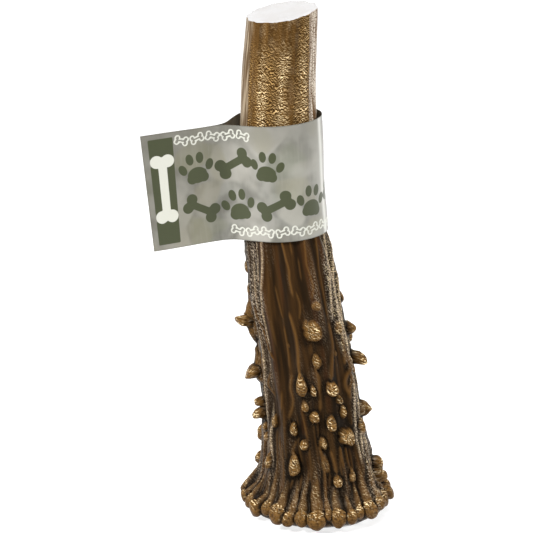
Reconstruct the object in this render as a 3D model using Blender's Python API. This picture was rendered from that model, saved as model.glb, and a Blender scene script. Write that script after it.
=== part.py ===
# Deer antler dog chew: the foot of a shed antler, sawn off at the top, standing on its burr,
# with a strip of printed film wrapped round the upper beam and stuck to itself as a flag.
# Z is up, the front of the antler faces -Y, and the origin is the middle of the seal that it stands on.
import math
import random

import bmesh
import bpy
from mathutils import Matrix, Vector

MM = 0.001
OBJECT_NAME = "deer_antler_dog_chew"

# Driving dimensions of the beam, in millimetres.
# A station is: height, sideways place of the beam's axis, half the width from flank to flank.
STATIONS = (
    (0.0, 0.0, 21.5),
    (1.4, 0.0, 23.4),
    (4.0, 0.0, 25.8),
    (8.0, 0.0, 26.3),
    (12.0, 0.0, 24.8),
    (17.0, 0.2, 23.0),
    (24.0, 0.0, 21.7),
    (34.0, -1.5, 20.3),
    (50.0, -2.9, 19.2),
    (70.0, -5.6, 18.4),
    (88.0, -8.8, 17.8),
    (100.0, -10.7, 17.1),
    (109.0, -12.0, 16.6),
    (116.0, -13.3, 15.7),
    (124.0, -14.1, 15.4),
    (136.0, -14.9, 15.2),
    (158.0, -15.4, 14.5),
    (178.0, -15.1, 13.6),
    (198.2, -14.1, 12.8),
)
DEPTH_RATIO = 0.94
FORWARD_LEAN_AT_TOP = 6.0
CUT_HEIGHT = 198.2
CUT_RISE_TO_RIGHT = math.tan(math.radians(8.7))
CUT_RISE_TO_BACK = math.tan(math.radians(8.0))
CUT_BLEND_FROM = 160.0

BEAM_SIDES = 48
RING_HEIGHTS = (
    1.4, 3.5, 7.0, 11.0, 16.0, 22.0, 29.0, 37.0, 46.0, 55.0, 64.0, 74.0, 84.0, 94.0, 104.0,
    116.0, 132.0, 150.0, 168.0, 186.0,
)

# Long ridges run down the beam, a little wavy and twisted, and fade towards the smoother top.
# A slower wave round the beam makes some of them bolder than others.
RIDGE_COUNT = 12
RIDGE_DEPTH = 0.75
RIDGE_FADE_HEIGHTS = (140.0, 92.0)
RIDGE_SHARE_AT_TOP = 0.35
RIDGE_SWAY = 0.7
RIDGE_SWAY_LENGTH = 26.0
RIDGE_SWAY_ROUND = 2.0
RIDGE_TWIST = 0.012
SLOW_WAVES = 4.0
SLOW_WAVE_SHARE = 0.7
SLOW_WAVE_START = 1.1
SLOW_WAVE_LENGTH = 40.0
SMOOTH_FOOT_HEIGHT = 8.0

# Pearls, the knobs on the beam: height, bearing, width, length up the beam, stand, pointedness.
# Heights and sizes are in millimetres. A bearing is in degrees from the front, positive to the right.
PEARLS = (
    (100, -90, 4.5, 6.0, 1.4, 0.7),
    (92, -76, 4.0, 6.0, 1.2, 0.7),
    (89, 26, 4.0, 4.5, 1.0, 0.7),
    (88, 90, 4.5, 6.0, 1.6, 0.8),
    (80, -90, 9.0, 11.5, 7.4, 1.3),
    (79, 15, 8.5, 9.5, 3.2, 0.5),
    (79, 53, 4.5, 7.0, 2.0, 0.8),
    (75, 90, 6.5, 7.5, 3.0, 1.0),
    (73, -18, 2.6, 2.6, 0.9, 0.7),
    (69, 41, 3.0, 3.2, 1.1, 0.7),
    (67, 14, 4.6, 7.5, 2.0, 0.7),
    (66, -90, 3.5, 4.5, 1.2, 0.8),
    (63, 87, 6.5, 7.0, 5.8, 1.2),
    (61, 68, 3.6, 5.0, 1.6, 0.8),
    (59, -8, 4.6, 10.0, 3.4, 0.8),
    (56, 27, 5.0, 7.0, 2.8, 0.7),
    (56, -90, 7.5, 8.5, 5.0, 1.2),
    (55, 4, 3.4, 5.5, 1.8, 0.7),
    (51, 35, 3.4, 5.0, 2.0, 0.8),
    (49, -7, 2.9, 4.2, 1.4, 0.8),
    (46, 40, 3.8, 7.0, 2.4, 0.8),
    (45, 2, 4.3, 5.8, 2.3, 0.6),
    (45, -89, 4.4, 4.4, 3.4, 0.9),
    (43, 84, 6.0, 6.5, 4.0, 1.1),
    (42, 22, 4.6, 7.2, 2.6, 0.7),
    (41, -49, 3.8, 6.0, 2.0, 0.8),
    (41, -87, 4.6, 4.6, 4.2, 0.9),
    (40, -22, 4.2, 6.2, 2.3, 0.6),
    (38, 63, 4.0, 8.0, 2.4, 0.8),
    (36, 39, 7.2, 6.4, 3.6, 0.8),
    (36, -78, 3.6, 3.6, 1.8, 0.8),
    (34, 11, 4.2, 5.8, 2.3, 0.6),
    (34, -11, 3.6, 4.6, 1.8, 0.6),
    (33, -66, 3.4, 4.6, 2.0, 0.8),
    (26, -23, 6.2, 10.5, 3.2, 0.6),
    (25, 8, 5.0, 10.0, 2.2, 0.6),
    (24, -59, 4.4, 8.0, 2.4, 0.7),
    (20, 38, 4.0, 4.8, 2.4, 0.6),
    (19, 20, 4.4, 6.0, 2.6, 0.6),
    (18, 88, 5.0, 4.6, 3.4, 0.6),
)
PEARL_SINK = 1.3
PEARL_SIDES = 7
PEARL_ROWS = 5
SMALL_PEARL = 7.3
ROUND_POINTEDNESS = 0.6
CONE_POINTEDNESS = 1.3

# The far side carries the same growth, thinning out upwards.
BACK_PEARL_COUNT = 27
BACK_PEARL_SEED = 11
BACK_PEARL_HEIGHTS = (18.0, 98.0)
BACK_PEARL_THINNING = 1.5
BACK_PEARL_BEARINGS = (104.0, 256.0)
BACK_PEARL_STANDS = (1.2, 3.8)
BACK_PEARL_LEAST_WIDTH = 2.4
BACK_PEARL_WIDENING = (0.6, 1.0)
BACK_PEARL_STRETCH = (1.1, 1.6)
BACK_PEARL_SHARPENING = 0.15
BACK_PEARL_SPACING = 7.5

# Burr roots: bearing of the bulb in degrees, width of the bulb, height of its middle, length of root.
# Each root runs down from the beam as a ridge and ends in a bulb on the burr's rim.
FRONT_ROOTS = (
    (-96, 5.0, 8.5, 14),
    (-87, 4.2, 5.2, 12),
    (-74, 4.8, 6.4, 15),
    (-60, 4.6, 6.0, 17),
    (-46, 4.6, 7.4, 15),
    (-34, 4.8, 7.0, 18),
    (-24, 4.6, 5.8, 16),
    (-13, 4.8, 5.8, 19),
    (-1, 6.2, 6.2, 18),
    (8, 3.4, 7.8, 10),
    (17, 6.2, 6.3, 20),
    (27, 4.8, 6.2, 14),
    (36, 4.4, 6.4, 15),
    (47, 5.8, 7.0, 17),
    (59, 4.6, 8.2, 14),
    (71, 5.8, 7.5, 16),
    (84, 5.2, 8.3, 13),
    (96, 5.2, 9.2, 14),
)
BACK_ROOT_BEARINGS = (108, 252)
BACK_ROOT_COUNT = 13
BACK_ROOT_SEED = 5
BACK_ROOT_SHIFT = 1.5
BACK_BULB_WIDTHS = (4.6, 6.2)
BACK_BULB_HEIGHTS = (6.0, 7.6)
BACK_ROOT_LENGTHS = (12, 19)
MOST_ROOT_LEAN = 3.0
ROOT_SIDES = 6
ROOT_ROWS = 8
ROOT_RIDGE_SHARE = 0.78
ROOT_NECK_RISE = 0.9
ROOT_STAND = 0.4
ROOT_TAIL_SINK = 1.1
BULB_STAND = 1.3
BULB_TURN_AT_NECK = 0.2 * math.pi
BULB_FULL_STAND_FROM = 0.62

# The label: height of the film, thickness of the one layer that its loop is and of each of the
# two layers of its flag, and the loop and flag seen from above.
LABEL_HEIGHT = 44.4
LABEL_MIDDLE_HEIGHT = 136.8
LABEL_AXIS_X = -14.3
FILM_THICKNESS = 0.35
LOOP_HALF_WIDTH = 16.4
LOOP_HALF_DEPTH = 15.7
LOOP_SIDES = 40
FLAG_TURN_FORWARD = math.radians(20.0)
NOSE_DISTANCE = 21.4
FLAG_END_DISTANCE = 52.6
FLAG_END_SLANT = 0.9
LABEL_TILT_LEFT = math.radians(3.4)
LABEL_TILT_FORWARD = math.radians(2.3)
FLAG_END_ZONE = 1.0
WELD_DISTANCE = 0.05

ANTLER_COLOUR = (0.150, 0.082, 0.033, 1.0)
ANTLER_ROUGHNESS = 0.45
ANTLER_SHARP_ANGLE = 40.0
LABEL_COLOUR = (0.400, 0.400, 0.340, 1.0)
LABEL_ROUGHNESS = 0.3
LABEL_SHARP_ANGLE = 30.0
NO_REACH = 0.0001


def clear_scene():
    for old_object in list(bpy.data.objects):
        bpy.data.objects.remove(old_object, do_unlink=True)


def new_collection(name):
    collection = bpy.data.collections.new(name)
    bpy.context.scene.collection.children.link(collection)
    return collection


def finish_material(name, colour, roughness):
    material = bpy.data.materials.new(name)
    material.use_nodes = True
    shader = material.node_tree.nodes["Principled BSDF"]
    shader.inputs["Base Color"].default_value = colour
    shader.inputs["Roughness"].default_value = roughness
    shader.inputs["Metallic"].default_value = 0.0
    return material


def smooth_step(value, start, end):
    part = min(1.0, max(0.0, (value - start) / (end - start)))
    return part * part * (3.0 - 2.0 * part)


def along_stations(height, column):
    """One column of the stations at a height, on a smooth curve through them."""
    last = len(STATIONS) - 1
    height = min(STATIONS[last][0], max(STATIONS[0][0], height))
    low = max(i for i in range(last) if STATIONS[i][0] <= height)
    before, after = max(0, low - 1), min(last, low + 2)
    span = STATIONS[low + 1][0] - STATIONS[low][0]
    part = (height - STATIONS[low][0]) / span

    def slope(start, end):
        return (STATIONS[end][column] - STATIONS[start][column]) / (STATIONS[end][0] - STATIONS[start][0])

    start_slope = slope(before, low + 1) * span
    end_slope = slope(low, after) * span
    a = STATIONS[low][column]
    b = STATIONS[low + 1][column]
    return (
        a * (2 * part ** 3 - 3 * part ** 2 + 1)
        + b * (3 * part ** 2 - 2 * part ** 3)
        + start_slope * (part ** 3 - 2 * part ** 2 + part)
        + end_slope * (part ** 3 - part ** 2)
    )


def beam_axis(height):
    return Vector((along_stations(height, 1), -FORWARD_LEAN_AT_TOP * (height / CUT_HEIGHT) ** 2, height))


def ridge_relief(bearing, height):
    """How far a ridge's crest or the groove beside it is from the beam's mean surface."""
    fade = RIDGE_SHARE_AT_TOP + (1.0 - RIDGE_SHARE_AT_TOP) * smooth_step(height, *RIDGE_FADE_HEIGHTS)
    sway = RIDGE_SWAY * math.sin(height / RIDGE_SWAY_LENGTH + RIDGE_SWAY_ROUND * bearing)
    wave = math.cos(RIDGE_COUNT * bearing + sway + RIDGE_TWIST * height)
    slow = math.cos(SLOW_WAVES * bearing + SLOW_WAVE_START + height / SLOW_WAVE_LENGTH)
    return RIDGE_DEPTH * fade * (wave + SLOW_WAVE_SHARE * slow - 1.0)


def beam_surface(bearing, height):
    """The point on the beam at a bearing in radians and a height, with the sawn end's slant."""
    axis = beam_axis(height)
    half_width = along_stations(height, 2)
    relief = ridge_relief(bearing, height) * smooth_step(height, 0.0, SMOOTH_FOOT_HEIGHT)
    x = (half_width + relief) * math.sin(bearing)
    y = -(half_width * DEPTH_RATIO + relief) * math.cos(bearing)
    slant = smooth_step(height, CUT_BLEND_FROM, CUT_HEIGHT)
    z = height + slant * (CUT_RISE_TO_RIGHT * x + CUT_RISE_TO_BACK * y)
    return Vector((axis.x + x, axis.y + y, z))


def surface_frame(bearing, height):
    """A matrix at the surface: X round the beam, Y up it, Z out of it, in millimetres."""
    step_round = math.radians(3.0)
    step_up = 1.5
    across = beam_surface(bearing + step_round, height) - beam_surface(bearing - step_round, height)
    upward = beam_surface(bearing, height + step_up) - beam_surface(bearing, height - step_up)
    outward = across.cross(upward).normalized()
    upward = outward.cross(across.normalized())
    frame = Matrix((across.normalized(), upward, outward)).transposed().to_4x4()
    frame.translation = beam_surface(bearing, height)
    return frame


def mesh_object(name, mesh, collection):
    new_object = bpy.data.objects.new(name, mesh)
    collection.objects.link(new_object)
    return new_object


def as_cutter(guide):
    guide.hide_render = True
    guide.display_type = "WIRE"


def make_beam(collection):
    """A tall cylinder, cut into rings, whose corners are moved onto the beam's surface."""
    shape = bmesh.new()
    bmesh.ops.create_cone(
        shape, cap_ends=True, segments=BEAM_SIDES, radius1=1.0, radius2=1.0, depth=CUT_HEIGHT,
        matrix=Matrix.Translation((0.0, 0.0, CUT_HEIGHT / 2)),
    )
    for height in RING_HEIGHTS:
        everything = shape.verts[:] + shape.edges[:] + shape.faces[:]
        bmesh.ops.bisect_plane(shape, geom=everything, plane_co=(0, 0, height), plane_no=(0, 0, 1))
    for corner in shape.verts:
        bearing = math.atan2(corner.co.x, -corner.co.y)
        corner.co = beam_surface(bearing, corner.co.z) * MM
    mesh = bpy.data.meshes.new("antler")
    shape.to_mesh(mesh)
    shape.free()
    return mesh_object("antler", mesh, collection)


def add_ball(shape, sides, rows):
    """A round primitive inside a bmesh, and its corners."""
    made = bmesh.ops.create_uvsphere(shape, u_segments=sides, v_segments=rows, radius=1.0)
    return made["verts"]


def add_pearl(shape, height, bearing, width, length, stand, pointedness):
    """One pearl: a ball whose outer half is drawn up to a blunt or pointed tip."""
    frame = surface_frame(math.radians(bearing), height)
    small = max(width, length) < SMALL_PEARL
    for corner in add_ball(shape, PEARL_SIDES - small, PEARL_ROWS - small):
        x, y, z = corner.co
        reach = math.hypot(x, y)
        if z > 0.0:
            level = math.atan2(z, reach) / (math.pi / 2)
            spread = max(0.0, math.cos(level * math.pi / 2)) ** pointedness
            shrink = spread / reach if reach > NO_REACH else 0.0
            x, y = x * shrink, y * shrink
            conical = smooth_step(pointedness, ROUND_POINTEDNESS, CONE_POINTEDNESS)
            z = stand * ((1.0 - conical) * math.sin(level * math.pi / 2) + conical * level)
        else:
            z = z * PEARL_SINK
        corner.co = frame @ Vector((x * width / 2, y * length / 2, z)) * MM


def add_root(shape, bearing, bulb_width, bulb_height, length, lean):
    """One root of the burr: a ball drawn into a ridge down the beam that ends in a round bulb."""
    bulb = bulb_width / 2
    for corner in add_ball(shape, ROOT_SIDES, ROOT_ROWS):
        x, y, z = corner.co
        way = math.atan2(math.hypot(x, y), z) / math.pi
        if way <= 0.5:
            way_up = 1.0 - 2.0 * way
            height = bulb_height + bulb * ROOT_NECK_RISE + length * way_up
            girth = bulb * ROOT_RIDGE_SHARE * (1.0 - way_up ** 3)
            stand = ROOT_STAND - ROOT_TAIL_SINK * way_up
        else:
            way_up = 0.0
            turn_round_bulb = BULB_TURN_AT_NECK + (math.pi - BULB_TURN_AT_NECK) * (2.0 * way - 1.0)
            height = bulb_height + bulb * math.cos(turn_round_bulb)
            girth = bulb * math.sin(turn_round_bulb)
            stand = ROOT_STAND + BULB_STAND * smooth_step(way, 0.5, BULB_FULL_STAND_FROM)
        frame = surface_frame(math.radians(bearing + lean * way_up ** 2), height)
        reach = math.hypot(x, y)
        side, out = (x / reach, y / reach) if reach > NO_REACH else (0.0, 0.0)
        corner.co = frame @ Vector((side * girth, 0.0, stand + out * girth)) * MM


def back_pearls():
    """Pearls for the far side, at seeded places that keep a distance from each other."""
    dice = random.Random(BACK_PEARL_SEED)
    placed = []
    while len(placed) < BACK_PEARL_COUNT:
        low, high = BACK_PEARL_HEIGHTS
        height = low + (high - low) * dice.random() ** BACK_PEARL_THINNING
        bearing = dice.uniform(*BACK_PEARL_BEARINGS)
        stand = dice.uniform(*BACK_PEARL_STANDS)
        width = BACK_PEARL_LEAST_WIDTH + stand * dice.uniform(*BACK_PEARL_WIDENING)
        spot = beam_surface(math.radians(bearing), height)
        if all((spot - other).length > BACK_PEARL_SPACING for other, _ in placed):
            length = width * dice.uniform(*BACK_PEARL_STRETCH)
            pointedness = ROUND_POINTEDNESS + BACK_PEARL_SHARPENING * stand
            placed.append((spot, (height, bearing, width, length, stand, pointedness)))
    return [pearl for _, pearl in placed]


def back_roots():
    """Roots for the far side of the burr, evenly spread with a little irregularity."""
    dice = random.Random(BACK_ROOT_SEED)
    first, last = BACK_ROOT_BEARINGS
    roots = []
    for number in range(BACK_ROOT_COUNT):
        even = first + (last - first) * number / (BACK_ROOT_COUNT - 1)
        bearing = even + dice.uniform(-BACK_ROOT_SHIFT, BACK_ROOT_SHIFT)
        width = dice.uniform(*BACK_BULB_WIDTHS)
        height = dice.uniform(*BACK_BULB_HEIGHTS)
        roots.append((bearing, width, height, dice.uniform(*BACK_ROOT_LENGTHS)))
    return roots


def make_roots(collection):
    shape = bmesh.new()
    dice = random.Random(BACK_ROOT_SEED)
    for bearing, width, height, length in list(FRONT_ROOTS) + back_roots():
        add_root(shape, bearing, width, height, length, dice.uniform(-MOST_ROOT_LEAN, MOST_ROOT_LEAN))
    mesh = bpy.data.meshes.new("burr_roots")
    shape.to_mesh(mesh)
    shape.free()
    return mesh_object("burr_roots", mesh, collection)


def make_pearls(collection):
    shape = bmesh.new()
    for pearl in list(PEARLS) + back_pearls():
        add_pearl(shape, *pearl)
    mesh = bpy.data.meshes.new("pearls")
    shape.to_mesh(mesh)
    shape.free()
    return mesh_object("pearls", mesh, collection)


def join_growth(antler, growth):
    """Fuses what grows on the beam with it, so that the antler is one closed body."""
    union = antler.modifiers.new("join " + growth.name, "BOOLEAN")
    union.operation = "UNION"
    union.object = growth
    union.solver = "EXACT"
    union.use_self = True


def wrapped_round(half_width, half_depth, nose):
    """Points of a loop seen from above, from where the film meets the oval on one side to the other."""
    touching = []
    for number in range(LOOP_SIDES):
        turn = 2 * math.pi * number / LOOP_SIDES
        point = Vector((half_width * math.cos(turn), half_depth * math.sin(turn)))
        outward = Vector((math.cos(turn) / half_width, math.sin(turn) / half_depth))
        touching.append((point, (nose - point).dot(outward) <= 0.0))
    start = next(i for i in range(LOOP_SIDES) if touching[i][1] and not touching[i - 1][1])
    turned = touching[start:] + touching[:start]
    return [point for point, kept in turned if kept]


def closed_outline(curve, points):
    line = curve.splines.new("POLY")
    line.points.add(len(points) - 1)
    for place, point in zip(line.points, points):
        place.co = (point.x * MM, point.y * MM, 0.0, 1.0)
    line.use_cyclic_u = True


def make_label(collection):
    """The film seen from above, a loop with a double flag, raised to the height of the label."""
    forward = Vector((-math.cos(FLAG_TURN_FORWARD), -math.sin(FLAG_TURN_FORWARD)))
    across = Vector((forward.y, -forward.x)) * FILM_THICKNESS
    nose = forward * NOSE_DISTANCE
    inner = wrapped_round(LOOP_HALF_WIDTH, LOOP_HALF_DEPTH, nose - forward * FILM_THICKNESS)
    outer_size = (LOOP_HALF_WIDTH + FILM_THICKNESS, LOOP_HALF_DEPTH + FILM_THICKNESS)
    outer = wrapped_round(*outer_size, nose + forward * FILM_THICKNESS)
    flag_end = forward * FLAG_END_DISTANCE
    curve = bpy.data.curves.new("label_outline", "CURVE")
    curve.dimensions = "2D"
    curve.fill_mode = "BOTH"
    curve.extrude = LABEL_HEIGHT / 2 * MM
    nose_corner = nose + forward * FILM_THICKNESS
    closed_outline(curve, [flag_end - across, nose_corner - across] + outer
                   + [nose_corner + across, flag_end + across])
    closed_outline(curve, [nose - forward * FILM_THICKNESS] + inner)
    guide = mesh_object("label_outline", curve, collection)
    bpy.context.view_layer.update()
    evaluated = guide.evaluated_get(bpy.context.evaluated_depsgraph_get())
    mesh = bpy.data.meshes.new_from_object(evaluated)
    bpy.data.objects.remove(guide)
    shape = bmesh.new()
    shape.from_mesh(mesh)
    bmesh.ops.remove_doubles(shape, verts=shape.verts, dist=WELD_DISTANCE * MM)
    bmesh.ops.recalc_face_normals(shape, faces=shape.faces)
    for corner in shape.verts:
        if corner.co.to_2d().dot(forward) / MM > FLAG_END_DISTANCE - FLAG_END_ZONE:
            slant = FLAG_END_SLANT * corner.co.z / (LABEL_HEIGHT / 2)
            corner.co += forward.to_3d() * slant
    shape.to_mesh(mesh)
    shape.free()
    mesh.materials.clear()
    label = mesh_object("label_wrap", mesh, collection)
    axis_y = beam_axis(LABEL_MIDDLE_HEIGHT).y
    label.location = Vector((LABEL_AXIS_X, axis_y, LABEL_MIDDLE_HEIGHT)) * MM
    label.rotation_euler = (LABEL_TILT_FORWARD, -LABEL_TILT_LEFT, 0.0)
    return label


def shade_round(target, sharp_angle):
    target.data.shade_smooth()
    target.data.set_sharp_from_angle(angle=math.radians(sharp_angle))


def main():
    clear_scene()
    parts = new_collection(OBJECT_NAME)
    cutters = new_collection("cutters")
    antler = make_beam(parts)
    for growth in (make_roots(cutters), make_pearls(cutters)):
        as_cutter(growth)
        join_growth(antler, growth)
    label = make_label(parts)
    antler.data.materials.append(finish_material("antler", ANTLER_COLOUR, ANTLER_ROUGHNESS))
    label.data.materials.append(finish_material("label_film", LABEL_COLOUR, LABEL_ROUGHNESS))
    shade_round(antler, ANTLER_SHARP_ANGLE)
    shade_round(label, LABEL_SHARP_ANGLE)


main()
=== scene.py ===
import math
import random

import bmesh
import bpy
import numpy as np
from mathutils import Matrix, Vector


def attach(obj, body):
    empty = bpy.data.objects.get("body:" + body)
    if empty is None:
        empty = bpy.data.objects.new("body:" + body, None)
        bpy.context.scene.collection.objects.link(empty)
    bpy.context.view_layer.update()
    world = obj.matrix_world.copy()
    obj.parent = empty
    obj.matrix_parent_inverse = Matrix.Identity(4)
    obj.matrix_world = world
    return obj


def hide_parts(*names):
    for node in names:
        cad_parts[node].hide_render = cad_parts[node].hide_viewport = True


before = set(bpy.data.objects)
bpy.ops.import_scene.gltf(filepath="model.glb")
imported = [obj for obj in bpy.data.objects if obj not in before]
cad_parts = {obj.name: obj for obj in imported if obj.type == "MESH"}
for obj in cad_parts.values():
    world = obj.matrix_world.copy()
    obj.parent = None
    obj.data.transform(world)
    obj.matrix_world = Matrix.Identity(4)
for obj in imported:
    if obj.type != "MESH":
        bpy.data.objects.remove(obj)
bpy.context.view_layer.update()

# Camera: it looks down a little on the standing antler from the front, through a long lens.
CAMERA_AIM = Vector((-0.0198, 0.0, 0.0995))
CAMERA_DISTANCE = 0.75
CAMERA_LOOKS_DOWN = math.radians(16.4)
CAMERA_SENSOR, CAMERA_LENS = 36.0, 132.5
back_along_view = Vector((0.0, -math.cos(CAMERA_LOOKS_DOWN), math.sin(CAMERA_LOOKS_DOWN)))
bpy.ops.object.camera_add(
    location=CAMERA_AIM + CAMERA_DISTANCE * back_along_view,
    rotation=(math.pi / 2 - CAMERA_LOOKS_DOWN, 0.0, 0.0),
)
camera = bpy.context.object
camera.name = "camera"
camera.data.sensor_width = CAMERA_SENSOR
camera.data.lens = CAMERA_LENS
bpy.context.scene.camera = camera

# Beam: the shed antler's own stem, compact bone that grew in one piece, from the seal it broke off at
# up to the saw cut. Its section is a rounded oval that leans left and flares into the burr at the foot.
# It starts as an open cylinder, cut into rings and columns whose corners then take the grown form.
MM = 0.001
# Going up the beam: height, how far to the right its middle lies, and half its width, in millimetres.
STATIONS = (
    (0.0, 0.0, 21.5), (1.4, 0.0, 24.4), (3.2, 0.0, 27.0), (6.0, 0.0, 28.2), (8.8, 0.0, 27.3),
    (12.0, 0.0, 25.0), (17.0, 0.2, 23.0), (24.0, 0.0, 21.7), (34.0, -1.5, 20.3), (50.0, -2.9, 19.2),
    (70.0, -5.6, 18.4), (88.0, -8.8, 17.8), (100.0, -10.7, 17.1), (109.0, -12.0, 16.6),
    (116.0, -13.3, 15.7), (124.0, -14.1, 15.4), (136.0, -14.9, 15.2), (158.0, -15.4, 14.5),
    (178.0, -15.1, 13.6), (198.2, -14.1, 12.8),
)
DEPTH_RATIO = 0.94
CUT_HEIGHT = 198.2
LEAN_FORWARD_AT_CUT = 6.0
UNCUT_TOP = 204.0
FIRST_SIDES, FIRST_RINGS, HALVINGS = 36, 40, 3
ROWS = FIRST_RINGS * 2 ** HALVINGS
# Height, and the distance between rows of corners there: they lie wide apart under the label.
ROW_SPACING = (
    (0, 0.42), (14, 0.42), (22, 0.54), (112, 0.56), (118, 1.3), (156, 1.3), (162, 0.62), (204, 0.62),
)
FRONT_CROWDING = 0.38

bpy.ops.object.select_all(action="DESELECT")
bpy.ops.mesh.primitive_cylinder_add(
    vertices=FIRST_SIDES, radius=1.0, depth=1.0, end_fill_type="NOTHING", location=(0.0, 0.0, 0.5))
antler = bpy.context.object
antler.name = "antler_grown"
bpy.ops.object.transform_apply(location=True)


def select_only(kind, is_wanted):
    """Selects the wanted edges or faces of the antler while it is edited, and nothing else."""
    bpy.ops.mesh.select_mode(type=kind)
    bpy.ops.mesh.select_all(action="DESELECT")
    shape = bmesh.from_edit_mesh(antler.data)
    for part in shape.edges if kind == "EDGE" else shape.faces:
        part.select = is_wanted(part)
    bmesh.update_edit_mesh(antler.data)


bpy.ops.object.mode_set(mode="EDIT")
select_only("EDGE", lambda edge: abs(edge.verts[0].co.z - edge.verts[1].co.z) > 0.5)
bpy.ops.mesh.subdivide(number_cuts=FIRST_RINGS - 1)
bpy.ops.object.mode_set(mode="OBJECT")
finer = antler.modifiers.new("finer rings and columns", "SUBSURF")
finer.subdivision_type = "SIMPLE"
finer.levels = finer.render_levels = HALVINGS
bpy.ops.object.modifier_apply(modifier=finer.name)


def smooth_step(value, start, end):
    part = np.clip((value - start) / (end - start), 0.0, 1.0)
    return part * part * (3.0 - 2.0 * part)


def curve_through(places, values):
    """A smooth curve through values at rising places, straight on beyond the last one."""
    places = np.asarray(places, float)
    values = np.asarray(values, float)
    last = len(places) - 1
    before = np.maximum(np.arange(last + 1) - 1, 0)
    after = np.minimum(np.arange(last + 1) + 1, last)
    slopes = (values[after] - values[before]) / (places[after] - places[before])

    def curve(at):
        inside = np.clip(at, places[0], places[last])
        low = np.clip(np.searchsorted(places, inside, side="right") - 1, 0, last - 1)
        span = places[low + 1] - places[low]
        part = (inside - places[low]) / span
        bend = (
            values[low] * (2 * part ** 3 - 3 * part ** 2 + 1)
            + values[low + 1] * (3 * part ** 2 - 2 * part ** 3)
            + slopes[low] * span * (part ** 3 - 2 * part ** 2 + part)
            + slopes[low + 1] * span * (part ** 3 - part ** 2)
        )
        return bend + slopes[last] * np.maximum(at - places[last], 0.0)

    return curve


station_heights, station_middles, station_half_widths = zip(*STATIONS)
axis_x = curve_through(station_heights, station_middles)
half_width = curve_through(station_heights, station_half_widths)


def axis_y(height):
    return -LEAN_FORWARD_AT_CUT * (height / CUT_HEIGHT) ** 2


# Distance along the beam's side, from the edge of the seal, for each height.
side_height = np.linspace(0.0, UNCUT_TOP, 4081)
side_step = np.hypot(np.diff(side_height), np.diff(half_width(side_height)))
side_length = np.concatenate(([0.0], np.cumsum(side_step)))


def length_at(height):
    return np.interp(height, side_height, side_length)


spacing_there = np.interp(side_height, *zip(*ROW_SPACING))
rows_to_there = np.concatenate(([0.0], np.cumsum(side_step / spacing_there[1:])))


def corner_places(piece):
    """Where a piece's corners are, as one row of three numbers for each."""
    places = np.empty(3 * len(piece.data.vertices))
    piece.data.vertices.foreach_get("co", places)
    return places.reshape(-1, 3)


corners = corner_places(antler)
row = np.rint(corners[:, 2] * ROWS).astype(int)
turn = np.arctan2(corners[:, 0], -corners[:, 1])
turn[turn < -math.pi + 0.001] = math.pi
column_turns, column = np.unique(np.round(turn, 4), return_inverse=True)
row_length = np.interp(
    np.linspace(0.0, rows_to_there[-1], ROWS + 1), rows_to_there, side_length)

# Every corner's bearing from the front, positive to the right, and its distance up the side, both
# by row and column. Columns stand closer together in front.
bearing = np.tile(column_turns - FRONT_CROWDING * np.sin(column_turns), (ROWS + 1, 1))
length_up = np.tile(row_length[:, None], (1, len(column_turns)))

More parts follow.
